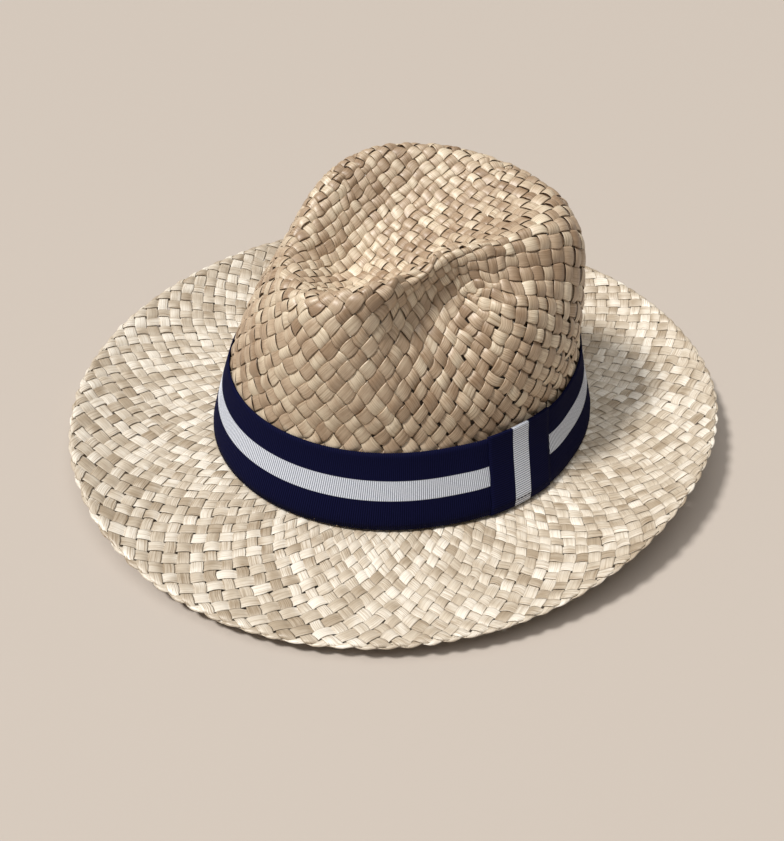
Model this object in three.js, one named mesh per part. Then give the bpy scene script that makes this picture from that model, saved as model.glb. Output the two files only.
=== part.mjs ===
// Straw fedora: a pinched, dented crown on an upturned brim, with a striped
// ribbon round the crown and a keeper tab of the same ribbon folded round it.
// Millimetres. +Z is up. The pinched front of the crown faces -Y, the wearer's
// left is +X, and Z = 0 is the surface the hat rests on.
import * as THREE from 'three';

// Woven straw and ribbon
const STRAW_THICK = 2.2;
const RIBBON_THICK = 1.0;
const RIBBON_WIDE = 38.4;
const GAP = 0.3;

// Where the crown sits over the middle of the brim
const CROWN_FORWARD = 3.3;
const CROWN_ASIDE = -0.45;

// Outside of the crown's wall, at its foot and at the ribbon's upper edge
const FOOT = { half_long: 101.0, half_wide: 87.0, forward: 0, aside: 0, height: STRAW_THICK + GAP };
const BAND = { half_long: 90.6, half_wide: 74.8, forward: 2.2, aside: 4, height: 40.3 };

// The bottom of the dent, which tips down toward the back
const DENT = { height: 99.2, near: 9, tip_forward: 0.33, tip_aside: 0.06 };

// The crown's outside, a row for each turn from the front round by the
// wearer's left, in degrees: reach from the middle, then height.
const CROWN_COLUMNS = ['turn', 'wall_reach', 'wall_height', 'shoulder_reach', 'shoulder_height',
  'ridge_reach', 'ridge_height', 'dent_reach', 'dent_height'];
const CROWN_ROWS = [
  [0, 88, 73.6, 84, 104.6, 72, 117.6, 36, 111.6],
  [30, 83, 73.6, 79, 106.6, 66, 120.6, 36, 111.6],
  [60, 75, 73.6, 70, 108.6, 59, 124.6, 33, 110.6],
  [90, 72, 73.6, 66, 108.6, 54, 125.6, 29, 107.6],
  [120, 74, 69.6, 65, 101.6, 50, 120.6, 26, 101.6],
  [145, 77, 65.6, 63, 93.6, 50, 110.6, 26, 94.6],
  [165, 80, 63.6, 67, 89.6, 55, 103.6, 29, 89.6],
  [185, 82, 63.6, 72, 88.6, 60, 102.6, 31, 89.6],
  [205, 80, 64.6, 74, 87.6, 64, 106.6, 33, 91.6],
  [222, 76, 65.6, 70, 93.6, 58, 113.6, 30, 95.6],
  [237, 71, 65.6, 61, 95.6, 48, 117.6, 25, 98.6],
  [255, 67, 62.6, 51, 95.6, 37, 119.6, 19, 101.6],
  [275, 68, 62.6, 51, 96.6, 31, 120.6, 16, 103.6],
  [300, 74, 66.6, 63, 100.6, 34, 120.6, 15, 105.6],
  [325, 81, 73.6, 69, 99.6, 51, 118.1, 23, 108.6],
  [342, 86, 73.6, 81, 103.6, 66, 118.1, 31, 110.6],
];

// The pinch on the wearer's right: points along it from the front end, with
// how deep and how wide the straw is pressed in there.
const PINCH_COLUMNS = ['forward', 'aside', 'height', 'deep', 'wide'];
const PINCH_ROWS = [
  [33, -42, 109.6, 7, 12],
  [14, -41.5, 109, 8.5, 13],
  [-9, -45.5, 102, 8.5, 13],
  [-20, -50, 97, 4, 12],
];
const PINCH_POINTS = 12;     // points from one row to the next

// The broad hollow that the pinch leaves in the wall below it
const HOLLOW = { forward: 10, aside: -54, height: 90, deep: 9, wide: 26 };

// The brim, from the ribbon's lower edge outward: reach and rise of its edge
const BRIM_ROOT = { half_long: 102.1, half_wide: 88.0 };
const BRIM_COLUMNS = ['turn', 'reach', 'rise'];
const BRIM_ROWS = [
  [0, 66.9, 13.8],
  [45, 67.0, 10.8],
  [90, 66.65, 15.0],
  [135, 67.1, 13.0],
  [180, 66.9, 13.5],
  [225, 67.7, 5.1],
  [270, 66.65, 10.0],
  [315, 64.0, 23.0],
];
const BRIM_FLAT = 0.14;      // share of the reach that lies flat
const BRIM_CURL = 1.7;       // how the rest gathers toward the edge
const BRIM_SHARES = [BRIM_FLAT, 0.3, 0.45, 0.6, 0.72, 0.83];
const BRIM_BEVEL = 0.7;      // at the foot of the head opening
const HEM_WIDE = 5;
const HEM_SWELL = 0.5;

// The keeper tab on the wearer's right
const TAB = { wide: 36.6, turn_foot: 289.4, turn_top: 297.0 };
const TAB_BULGE = RIBBON_THICK + GAP;
const TAB_MARGIN = 5;        // the ribbon stays swollen this far past the tab
const TAB_SHOULDER = 14;     // and takes this much more to lie on the straw again
const TAB_FOLD_ROUND = 0.3;
const BAND_LIFT = GAP + RIBBON_THICK + GAP;

const TURNS = 64;
const CROWN_STEPS = [0, 0.2, 0.4, 0.6, 0.8, 1, 1.15, 1.4, 1.7, 2, 2.35, 2.7, 3, 3.25, 3.5, 3.7, 3.85, 4,
  4.15, 4.3, 4.5, 4.75, 5, 5.4, 6];

const rad = (degrees) => degrees * Math.PI / 180;
const add = (p, q, k) => p.map((v, i) => v + q[i] * k);
const minus = (p, q) => add(p, q, -1);
const cross = (p, q) => [p[1] * q[2] - p[2] * q[1], p[2] * q[0] - p[0] * q[2], p[0] * q[1] - p[1] * q[0]];
const unit = (p) => add([0, 0, 0], p, 1 / Math.hypot(...p));
const mix = (p, q, k) => p.map((v, i) => v + (q[i] - v) * k);

// Smooth closed curve through one column of a table, at any turn
function column(rows, columns, name) {
  const at = columns.indexOf(name);
  const n = rows.length;
  const x = (i) => rows[((i % n) + n) % n][0] + 360 * Math.floor(i / n);
  const y = (i) => rows[((i % n) + n) % n][at];
  const slope = (i) => {
    const before = x(i) - x(i - 1);
    const after = x(i + 1) - x(i);
    const rise = (y(i) - y(i - 1)) / before * after + (y(i + 1) - y(i)) / after * before;
    return rise / (before + after);
  };
  return (turn) => {
    const q = ((turn % 360) + 360) % 360;
    let i = 0;
    while (i + 1 < n && x(i + 1) <= q) i += 1;
    const h = x(i + 1) - x(i);
    const t = (q - x(i)) / h;
    const d = y(i + 1) - y(i);
    const m0 = slope(i) * h;
    const m1 = slope(i + 1) * h;
    return y(i) + t * (m0 + t * (3 * d - 2 * m0 - m1 + t * (m0 + m1 - 2 * d)));
  };
}

const curvesOf = (rows, columns) => (
  Object.fromEntries(columns.map((name) => [name, column(rows, columns, name)])));
const crownOf = curvesOf(CROWN_ROWS, CROWN_COLUMNS);
const brimOf = curvesOf(BRIM_ROWS, BRIM_COLUMNS);

// Reach of an oval round the crown's middle
function ovalReach(oval, turn) {
  const c = Math.cos(rad(turn));
  const s = Math.sin(rad(turn));
  const a = (c / oval.half_long) ** 2 + (s / oval.half_wide) ** 2;
  const b = -2 * (oval.forward * c / oval.half_long ** 2 + oval.aside * s / oval.half_wide ** 2);
  const k = (oval.forward / oval.half_long) ** 2 + (oval.aside / oval.half_wide) ** 2 - 1;
  return (-b + Math.sqrt(b * b - 4 * a * k)) / (2 * a);
}

const place = (forward, aside, height) => [aside + CROWN_ASIDE, -forward - CROWN_FORWARD, height];

// Stations of the crown's profile at one turn, from its foot over the ridge to
// its middle, each as reach and height, with one beyond either end
function stations(turn) {
  const foot = [ovalReach(FOOT, turn), FOOT.height];
  const band = [ovalReach(BAND, turn), BAND.height];
  const over = ['wall', 'shoulder', 'ridge', 'dent'].map((part) => (
    [crownOf[`${part}_reach`](turn), crownOf[`${part}_height`](turn)]));
  const tip = DENT.near * (DENT.tip_forward * Math.cos(rad(turn)) + DENT.tip_aside * Math.sin(rad(turn)));
  const ends = [[DENT.near, DENT.height + tip], [0, DENT.height], [-DENT.near, DENT.height - tip]];
  return [mix(foot, band, -1), foot, band, ...over, ...ends];
}

// Smooth curve through four stations, between the middle two
function between(p, t) {
  const knots = [0];
  for (let i = 0; i < 3; i += 1) {
    const apart = Math.hypot(...minus(p[i + 1], p[i]));
    knots.push(knots[i] + Math.max(Math.sqrt(apart), 1e-6));
  }
  const q = knots[1] + (knots[2] - knots[1]) * t;
  const part = (a, b, i, j) => mix(a, b, (q - knots[i]) / (knots[j] - knots[i]));
  const a1 = part(p[0], p[1], 0, 1);
  const a2 = part(p[1], p[2], 1, 2);
  const a3 = part(p[2], p[3], 2, 3);
  return part(part(a1, a2, 0, 2), part(a2, a3, 1, 3), 1, 2);
}

function plainCrown(turn, step) {
  const k = Math.min(Math.floor(step), 6);
  const [reach, height] = between(stations(turn).slice(k, k + 4), step - k);
  return [reach * Math.cos(rad(turn)), reach * Math.sin(rad(turn)), height];
}

function facing(surface, turn, step) {
  const along = minus(surface(turn + 0.2, step), surface(turn - 0.2, step));
  const up = minus(surface(turn, Math.min(step + 0.004, 6.98)), surface(turn, Math.max(step - 0.004, 0)));
  return unit(cross(along, up));
}

// How far one press of the hand pushes the straw in at a point
function pressed(point, press) {
  const away = Math.hypot(...minus(point, [press.forward, press.aside, press.height]));
  return press.deep * Math.exp(-((away / press.wide) ** 2));
}

// How far the pinch and its hollow push the straw in at a point
function pinch(point) {
  let deep = 0;
  for (let i = 0; i < PINCH_ROWS.length - 1; i += 1) {
    for (let j = 0; j < PINCH_POINTS; j += 1) {
      const row = mix(PINCH_ROWS[i], PINCH_ROWS[i + 1], j / (PINCH_POINTS - 1));
      const press = Object.fromEntries(PINCH_COLUMNS.map((name, k) => [name, row[k]]));
      deep = Math.max(deep, pressed(point, press));
    }
  }
  return deep + pressed(point, HOLLOW);
}

function crownAt(turn, step) {
  const point = plainCrown(turn, step);
  const deep = pinch(point);
  return deep < 1e-4 ? point : add(point, facing(plainCrown, turn, step), -deep);
}

const onHat = ([forward, aside, height]) => place(forward, aside, height);

// The crown's wall, measured up its slope from the foot, and out from the straw
function wallAt(turn, up, out) {
  const s = stations(turn);
  const slope = Math.hypot(...minus(s[2], s[1]));
  const next = Math.hypot(...minus(s[3], s[2]));
  const step = up < slope ? up / slope : 1 + (up - slope) / next;
  return add(crownAt(turn, step), facing(crownAt, turn, step), out);
}

// One closed body from rings of points, and single points where it closes
function body(name, faces, material) {
  const geometry = new THREE.BufferGeometry();
  geometry.setAttribute('position', new THREE.Float32BufferAttribute(faces.flat(2), 3));
  geometry.computeVertexNormals();
  const mesh = new THREE.Mesh(geometry, material);
  mesh.name = name;
  return mesh;
}

function strip(lower, upper, closed) {
  const faces = [];
  const n = lower.length;
  for (let i = 0; i < (closed ? n : n - 1); i += 1) {
    const j = (i + 1) % n;
    faces.push([lower[i], lower[j], upper[j]], [lower[i], upper[j], upper[i]]);
  }
  return faces;
}

const fan = (ring, tip, flip) => ring.map((p, i) => {
  const q = ring[(i + 1) % ring.length];
  return flip ? [tip, q, p] : [p, q, tip];
});

const turns = Array.from({ length: TURNS }, (_, i) => i * 360 / TURNS);
const ringOf = (point) => turns.map(point);

function crown(material) {
  const outside = CROWN_STEPS.map((step) => ringOf((turn) => onHat(crownAt(turn, step))));
  const inside = CROWN_STEPS.map((step) => ringOf((turn) => {
    const point = add(crownAt(turn, step), facing(crownAt, turn, step), -STRAW_THICK);
    if (step === 0) point[2] = FOOT.height;
    return onHat(point);
  }));
  const faces = [];
  for (let k = 0; k < CROWN_STEPS.length - 1; k += 1) {
    faces.push(...strip(outside[k], outside[k + 1], true));
    faces.push(...strip(inside[k + 1], inside[k], true));
  }
  const top = onHat([0, 0, DENT.height]);
  faces.push(...fan(outside.at(-1), top, false));
  faces.push(...fan(inside.at(-1), add(top, [0, 0, 1], -STRAW_THICK), true));
  faces.push(...strip(inside[0], outside[0], true));
  return body('crown', faces, material);
}

// A point of the brim: share of its reach, and height above its middle layer
function brimAt(turn, share, lift) {
  const { half_long, half_wide } = BRIM_ROOT;
  const c = Math.cos(rad(turn));
  const s = Math.sin(rad(turn));
  const out = unit([c / half_long, s / half_wide, 0]);
  const rise = Math.max(0, (share - BRIM_FLAT) / (1 - BRIM_FLAT)) ** BRIM_CURL * brimOf.rise(turn);
  const root = [half_long * c, half_wide * s, 0];
  const shift = [-CROWN_FORWARD * share, -CROWN_ASIDE * share, 0];
  const point = add(add(root, out, brimOf.reach(turn) * share), shift, 1);
  return onHat([point[0], point[1], STRAW_THICK / 2 + rise + lift]);
}

function brim(material) {
  const half = STRAW_THICK / 2;
  const hem = HEM_WIDE / brimOf.reach(0);
  const shares = [...BRIM_SHARES, 1 - hem];
  const section = shares.map((share) => [share, -half]);
  section.push([1 - hem * 0.75, -half - HEM_SWELL], [1 - hem * 0.25, -half - HEM_SWELL], [1, -half * 0.4]);
  section.push([1, half * 0.4], [1 - hem * 0.25, half + HEM_SWELL], [1 - hem * 0.75, half + HEM_SWELL]);
  section.push(...shares.reverse().map((share) => [share, half]));
  const edge = (height, inward) => ringOf((turn) => {
    const point = add(crownAt(turn, 0), facing(crownAt, turn, 0), -STRAW_THICK - inward);
    return onHat([point[0], point[1], height]);
  });
  const rings = [edge(BRIM_BEVEL, 0), edge(0, -BRIM_BEVEL), ...section.map(([share, lift]) => (
    ringOf((turn) => brimAt(turn, share, lift)))), edge(STRAW_THICK, 0)];
  const faces = rings.flatMap((ring, k) => strip(ring, rings[(k + 1) % rings.length], true));
  return body('brim', faces, material);
}

// The ribbon swells out where the tab's back lies between it and the straw
const tabTurn = (up) => TAB.turn_foot + (TAB.turn_top - TAB.turn_foot) * up / RIBBON_WIDE;

function arcPerDegree(turn, up) {
  return Math.hypot(...minus(wallAt(turn + 0.5, up, 0), wallAt(turn - 0.5, up, 0)));
}

function swell(turn, up) {
  const middle = tabTurn(up);
  const away = Math.abs(((turn - middle + 540) % 360) - 180) * arcPerDegree(middle, up);
  const k = Math.min(Math.max((away - TAB.wide / 2 - TAB_MARGIN) / TAB_SHOULDER, 0), 1);
  return TAB_BULGE * (1 - k * k * (3 - 2 * k));
}

function ribbonBand(material) {
  const rows = Array.from({ length: 6 }, (_, k) => BAND_LIFT + RIBBON_WIDE * k / 5);
  const layer = (out) => rows.map((up) => ringOf((turn) => onHat(wallAt(turn, up, out + swell(turn, up)))));
  const rings = [...layer(GAP + RIBBON_THICK), ...layer(GAP).reverse()];
  const faces = rings.flatMap((ring, k) => strip(ring, rings[(k + 1) % rings.length], true));
  return body('ribbon_band', faces, material);
}

// The tab is a flat loop of ribbon closed round the band, longer than it by a fold
function ribbonTab(material) {
  const columns = Array.from({ length: 11 }, (_, k) => TAB.wide * (k / 10 - 0.5));
  const loop = (inset) => {
    const low = BAND_LIFT - GAP - RIBBON_THICK + inset;
    const high = BAND_LIFT + RIBBON_WIDE + GAP + RIBBON_THICK - inset;
    const back = GAP + inset;
    const front = GAP + TAB_BULGE + RIBBON_THICK + GAP + RIBBON_THICK - inset;
    const round = TAB_FOLD_ROUND;
    const up = Array.from({ length: 6 }, (_, k) => low + round + (high - low - 2 * round) * k / 5);
    return [...up.map((v) => [v, front]), [high, front - round], [high, back + round],
      ...up.reverse().map((v) => [v, back]), [low, back + round], [low, front - round]];
  };
  const sheet = (section) => columns.map((across) => section.map(([up, out]) => {
    const middle = tabTurn(up);
    return onHat(wallAt(middle + across / arcPerDegree(middle, up), up, out));
  }));
  const outer = sheet(loop(0));
  const inner = sheet(loop(RIBBON_THICK));
  const faces = [];
  for (let k = 0; k < columns.length - 1; k += 1) {
    faces.push(...strip(outer[k + 1], outer[k], true));
    faces.push(...strip(inner[k], inner[k + 1], true));
  }
  faces.push(...strip(outer[0], inner[0], true));
  faces.push(...strip(inner.at(-1), outer.at(-1), true));
  return body('ribbon_tab', faces, material);
}

const straw = new THREE.MeshStandardMaterial({ name: 'straw', color: 0xd8c096, roughness: 0.7 });
const ribbon = new THREE.MeshStandardMaterial({ name: 'navy_ribbon', color: 0x131b36, roughness: 0.8 });

const hat = new THREE.Group();
hat.name = 'straw_fedora';
hat.add(crown(straw), brim(straw), ribbonBand(ribbon), ribbonTab(ribbon));

export default hat;
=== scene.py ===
# %% [markdown]
# # A plaited straw fedora
# The real hat is one sheet of flat palm strips, plaited over and under, pressed on a block into a dented
# crown and an upturned brim, and dressed with a striped ribbon. A smooth surface with a painted weave would
# do from far away. Here each strip is a closed piece of straw of its own, because the pillowed crossings,
# the pinholes and the bumpy edge are what the eye looks for up close.
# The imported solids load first. They serve as the hat block, so nothing has to be fitted afterwards.

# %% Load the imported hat
import math
from collections import namedtuple

import bmesh
import bpy
import numpy as np
from mathutils import Matrix, Vector
from mathutils.bvhtree import BVHTree


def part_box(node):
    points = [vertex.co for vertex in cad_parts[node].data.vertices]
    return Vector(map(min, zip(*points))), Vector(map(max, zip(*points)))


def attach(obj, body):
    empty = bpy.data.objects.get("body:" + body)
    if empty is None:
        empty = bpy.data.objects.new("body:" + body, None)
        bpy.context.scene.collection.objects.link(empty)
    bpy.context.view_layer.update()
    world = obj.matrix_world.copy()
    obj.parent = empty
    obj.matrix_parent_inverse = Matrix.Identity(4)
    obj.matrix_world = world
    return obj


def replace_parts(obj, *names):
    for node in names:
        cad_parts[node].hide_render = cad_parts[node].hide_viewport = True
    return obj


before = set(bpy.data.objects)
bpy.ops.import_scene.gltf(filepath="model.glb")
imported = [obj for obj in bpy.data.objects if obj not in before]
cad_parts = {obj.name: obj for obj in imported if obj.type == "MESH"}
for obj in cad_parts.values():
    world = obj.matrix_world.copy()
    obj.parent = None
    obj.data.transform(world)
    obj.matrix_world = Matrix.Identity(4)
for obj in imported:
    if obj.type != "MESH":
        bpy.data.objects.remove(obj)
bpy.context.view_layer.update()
MM = 0.001
BODY = "root"
rng = np.random.default_rng(11)
print("packed solids:", sorted(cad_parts))

# %% [markdown]
# ## Camera
# The hat is seen from the wearer's right and a little from behind, well above the brim. A camera could be
# aimed by eye. This one was fitted to the outlines of the ribbon and the brim, so its place and its right
# and up directions are given directly, and the lens follows from the focal length in pixels.

# %% Camera
CAMERA_PLACE = Vector((-0.37942, 0.14122, 0.37346))
CAMERA_RIGHT = Vector((-0.326274, -0.945111, 0.017642))
CAMERA_UP = Vector((0.653066, -0.211882, 0.727056))
FOCAL_PIXELS = 1029.53
FRAME_HIGH_PIXELS = 841
SENSOR_WIDE = 36         # mm, for the longer side of the picture
CLIP_START = 0.01

camera_data = bpy.data.cameras.new("photo_camera")
camera_data.sensor_width = SENSOR_WIDE
camera_data.lens = SENSOR_WIDE * FOCAL_PIXELS / FRAME_HIGH_PIXELS
camera_data.clip_start = CLIP_START
camera = bpy.data.objects.new("photo_camera", camera_data)
camera_axes = Matrix((CAMERA_RIGHT, CAMERA_UP, CAMERA_RIGHT.cross(CAMERA_UP))).transposed()
camera.matrix_world = Matrix.Translation(CAMERA_PLACE) @ camera_axes.to_4x4()
bpy.context.scene.collection.objects.link(camera)
bpy.context.scene.camera = camera
print("lens", round(camera_data.lens, 2), "mm")

# %% [markdown]
# ## Floor and light
# A woven surface needs a light that rakes across it, or the strips go flat. One lamp stands to the left,
# high up, and throws the crown's shadow on the brim to the right. A broad panel overhead and a dim world
# fill the shadows. Walls see less of the panel than the brim does, so the pinch keeps its dark fold. Both
# lamps are suns with a wide angle, so the floor is lit evenly however far it is seen.

# %% Floor and light
FLOOR_HALF = 20.0
KEY_SPREAD = 10          # degrees across, as the hat sees the lamp
KEY_POWER = 2.9
KEY_HIGH = 60            # degrees above the floor
KEY_FORWARD = -0.15      # how far the lamp stands beyond the hat, against its distance to the left
PANEL_SPREAD = 55
PANEL_POWER = 1.05
SKY_STRENGTH = 0.14
FLOOR_COLOUR = (0.52, 0.465, 0.42, 1)
FLOOR_ROUGH = 0.75
LAMP_COLOUR = (1.0, 0.97, 0.92)
SKY_COLOUR = (1.0, 0.97, 0.93, 1)

floor_shape = bmesh.new()
bmesh.ops.create_grid(floor_shape, x_segments=1, y_segments=1, size=FLOOR_HALF)
floor_mesh = bpy.data.meshes.new("floor")
floor_shape.to_mesh(floor_mesh)
floor_shape.free()
floor = bpy.data.objects.new("floor", floor_mesh)
bpy.context.scene.collection.objects.link(floor)

floor_paint = bpy.data.materials.new("pale_floor")
floor_paint.use_nodes = True
floor_surface = floor_paint.node_tree.nodes["Principled BSDF"]
floor_surface.inputs["Base Color"].default_value = FLOOR_COLOUR
floor_surface.inputs["Roughness"].default_value = FLOOR_ROUGH
floor_mesh.materials.append(floor_paint)

level_left = Vector((-CAMERA_RIGHT.x, -CAMERA_RIGHT.y, 0)).normalized()
level_beyond = Vector((-CAMERA_PLACE.x, -CAMERA_PLACE.y, 0)).normalized()
key_level = (level_left + level_beyond * KEY_FORWARD).normalized()
key_aim = key_level * math.cos(math.radians(KEY_HIGH)) + Vector((0, 0, math.sin(math.radians(KEY_HIGH))))
for name, spread, power, aim in (("key_lamp", KEY_SPREAD, KEY_POWER, key_aim),
                                 ("overhead_panel", PANEL_SPREAD, PANEL_POWER, Vector((0, 0, 1)))):
    lamp_data = bpy.data.lights.new(name, "SUN")
    lamp_data.angle = math.radians(spread)
    lamp_data.energy = power
    lamp_data.color = LAMP_COLOUR
    lamp = bpy.data.objects.new(name, lamp_data)
    lamp.location = aim
    lamp.rotation_euler = aim.to_track_quat("Z", "Y").to_euler()
    bpy.context.scene.collection.objects.link(lamp)
    print(name, "shines from", [round(v, 2) for v in aim])

world = bpy.data.worlds.new("soft_sky")
world.use_nodes = True
world.node_tree.nodes["Background"].inputs["Color"].default_value = SKY_COLOUR
world.node_tree.nodes["Background"].inputs["Strength"].default_value = SKY_STRENGTH
bpy.context.scene.world = world
bpy.context.scene.view_settings.view_transform = "Standard"
print("sky", SKY_STRENGTH)

# %% [markdown]
# ## The crown as a hat block
# A hatter presses damp straw over a wooden block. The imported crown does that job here. Its outer faces go
# into a search tree, rays sent out from the heart of the crown find the surface at every turn, and each
# row of hits is spaced evenly from the middle of the dent, over the ridge and down to the foot.
# Turn 0 is the pinched front of the hat and turn 90 is the wearer's left.

# %% Points on the crown
crown_low, crown_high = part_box("crown")
crown_half = (crown_high - crown_low) / 2
MIDDLE = Vector((crown_low.x + crown_half.x, crown_low.y + crown_half.y, 0))
HEART_SHARE = 0.4        # of the crown's height
HEART = MIDDLE + Vector((0, 0, HEART_SHARE * crown_high.z))
UP = Vector((0, 0, 1))
TABLE_TURNS = 180
TABLE_ROWS = 160
FOOT_MARGIN = 3.2 * MM   # keeps the ends of the strips behind the ribbon


def heading(turn):
    """Level direction at a turn in degrees."""
    return Vector((math.sin(math.radians(turn)), -math.cos(math.radians(turn)), 0))


def search_tree(node, keep):
    """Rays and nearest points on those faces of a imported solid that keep() lets through."""
    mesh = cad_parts[node].data
    faces = [tuple(face.vertices) for face in mesh.polygons if keep(face.center, face.normal)]
    return BVHTree.FromPolygons([vertex.co.copy() for vertex in mesh.vertices], faces)


def even_rows(points, count):
    """Each row of points spaced evenly along its own length, and the lengths."""
    runs = np.linalg.norm(np.diff(points, axis=1), axis=2).cumsum(axis=1)
    runs = np.insert(runs, 0, 0, axis=1)
    shares = np.linspace(0, 1, count)
    rows = []
    for run, row in zip(runs, points):
        rows.append(np.stack([np.interp(shares * run[-1], run, row[:, axis]) for axis in range(3)], axis=1))
    return np.array(rows), runs[:, -1]


def crown_row(turn):
    """Points from the middle of the dent to the foot of the wall, at one turn."""
    level = heading(turn)
    foot_reach = 1 / math.hypot(level.x / crown_half.x, level.y / crown_half.y)
    foot_tilt = math.atan2(foot_reach, crown_low.z + FOOT_MARGIN - HEART.z)
    row = []
    for tilt in np.linspace(0, foot_tilt, TABLE_ROWS):
        aim = level * math.sin(tilt) + UP * math.cos(tilt)
        row.append(crown_block.ray_cast(HEART, aim)[0])
    return row


def look_up(table, turn, share):
    """Points of a table that goes round in even turns and outward in even shares."""
    turns, rows = table.shape[:2]
    t = np.mod(turn, 360) / 360 * turns
    s = np.clip(share, 0, 1) * (rows - 1)
    t_low = np.floor(t).astype(int)
    s_low = np.minimum(np.floor(s).astype(int), rows - 2)
    a = (t - t_low)[..., None]
    b = (s - s_low)[..., None]
    t_high = (t_low + 1) % turns
    t_low = t_low % turns
    inner = table[t_low, s_low] * (1 - a) + table[t_high, s_low] * a
    outer = table[t_low, s_low + 1] * (1 - a) + table[t_high, s_low + 1] * a
    return inner * (1 - b) + outer * b


crown_block = search_tree("crown", lambda centre, normal: (centre - HEART).dot(normal) > 0)
table_turns = np.arange(TABLE_TURNS) * 360 / TABLE_TURNS
crown_table, crown_runs = even_rows(np.array([crown_row(turn) for turn in table_turns]), TABLE_ROWS)
CROWN_RUN = float(crown_runs.mean())
print("from the dent to the foot:", round(CROWN_RUN / MM), "mm")

# %% [markdown]
# ## How the strips of the crown cross
# The top of the crown starts as a square mat of two sets of strips. At the four corners of the mat the
# plaiter turns the work down, and from there every strip runs slantwise round the wall, half of them
# leaning right and half leaning left. So each crossing of the mat has a place (i, j) on a square grid, and
# each crossing of the wall has a ring and a column. A strip is the list of crossings it passes, with a
# note of whether it lies over or under there. Lying over and under in turn works out all the way round.

# %% Strips of the crown
MAT_HALF = 13            # strips from the middle of the mat to each of its corners
CROWN_RINGS = 23
CROWN_ROUND = 4 * MAT_HALF


def edge_column(i, j):
    """Column of a crossing on the edge of the mat."""
    if i > 0 and j > 0:
        return int(j - 0.5)
    if j > 0:
        return int(MAT_HALF - i - 0.5)
    if i < 0:
        return int(2 * MAT_HALF - j - 0.5)
    return int(3 * MAT_HALF + i - 0.5)


def mat_crossing(i, j):
    """Name of a crossing of the mat. The mat's edge is ring 0 of the wall."""
    if abs(i) + abs(j) == MAT_HALF:
        return ("wall", 0, edge_column(i, j))
    return ("mat", i, j)


def down_the_wall(column, leans_right):
    """The crossings of a strip below the mat's edge, each with whether it lies over there."""
    run = []
    for ring in range(1, CROWN_RINGS + 1):
        at = column if leans_right else column - ring
        over = (MAT_HALF + ring) % 2 == (0 if leans_right else 1)
        run.append((("wall", ring, at % CROWN_ROUND), over))
    return run


def crown_strip(line, crosswise):
    """One strip from foot to foot: up the wall, across the mat and down the other side."""
    reach = MAT_HALF - abs(line)
    mat = []
    for step in np.arange(-reach, reach + 0.5):
        i, j = (line, step) if crosswise else (step, line)
        mat.append((mat_crossing(i, j), (i + j) % 2 == (0 if crosswise else 1)))
    first = down_the_wall(mat[0][0][2], (line < 0) == crosswise)
    last = down_the_wall(mat[-1][0][2], (line > 0) == crosswise)
    return first[::-1] + mat + last


mat_lines = np.arange(-MAT_HALF + 0.5, MAT_HALF)
named_strips = [crown_strip(line, crosswise) for crosswise in (False, True) for line in mat_lines]
crossing_names = sorted({name for strip in named_strips for name, over in strip})
crossing_number = {name: k for k, name in enumerate(crossing_names)}
crown_strips = [[(crossing_number[name], over) for name, over in strip] for strip in named_strips]
print(len(crown_strips), "crown strips meet at", len(crossing_names), "crossings")

# %% [markdown]
# ## Where the crossings start
# Every crossing needs a first place on the block. On the mat that is its place on the square grid, turned
# a little from the front of the hat. A square doesn't fit a round wall at once, so below the mat's edge
# the columns take some rings to spread from the square's sides to even turns.

# %% First places of the crossings
MAT_TURN = 24            # degrees that the mat is turned from the front of the hat
CROWN_PITCH = 5.0 * MM   # from one strip to the next on the mat
SETTLE_RINGS = 7         # rings that the columns take to spread evenly below the mat
RING_SPREAD = 1.15       # above 1, rings lie closer together near the mat


def crossing_place(kind, p, q):
    """Turn and share of the crown's rows where a crossing starts, before the strips are evened out."""
    if kind == "mat":
        return math.degrees(math.atan2(q, p)), math.hypot(p, q) * CROWN_PITCH / CROWN_RUN
    column = q + 0.5 + p / 2
    side, along = divmod(column / MAT_HALF, 1)
    corner = math.atan2(along, 1 - along)
    edge = MAT_HALF * CROWN_PITCH / CROWN_RUN / (math.cos(corner) + math.sin(corner))
    settled = min(p / SETTLE_RINGS, 1)
    settled = settled * settled * (3 - 2 * settled)
    square_turn = 90 * side + math.degrees(corner)
    even_turn = 90 * column / MAT_HALF
    turn = square_turn + (even_turn - square_turn) * settled
    return turn, edge + (1 - edge) * (p / CROWN_RINGS) ** RING_SPREAD


starts = np.array([crossing_place(*name) for name in crossing_names])
crown_points = look_up(crown_table, starts[:, 0] + MAT_TURN, starts[:, 1])
print("the mat is", round(2 * MAT_HALF * CROWN_PITCH / MM), "mm from corner to corner")

# %% [markdown]
# ## Evening out the weave
# A plaiter pushes the strips together until the gaps are even. Averaging each crossing with its neighbours
# does the same. smooth_vert is Blender's own averaging, and after each round the crossings are put back on
# the block. The crossings at the foot stay where they are. A hand never works quite evenly, so at the end
# each crossing strays a little, and more at the mat's corners, which are hard to plait.

# %% Even crossings
EVEN_ROUNDS = 14
UNEVEN = 0.50 * MM         # how far a crossing strays from its even place
CORNER_UNEVEN = 0.75 * MM  # added at the corners of the mat
CORNER_REACH = 16 * MM

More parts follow.
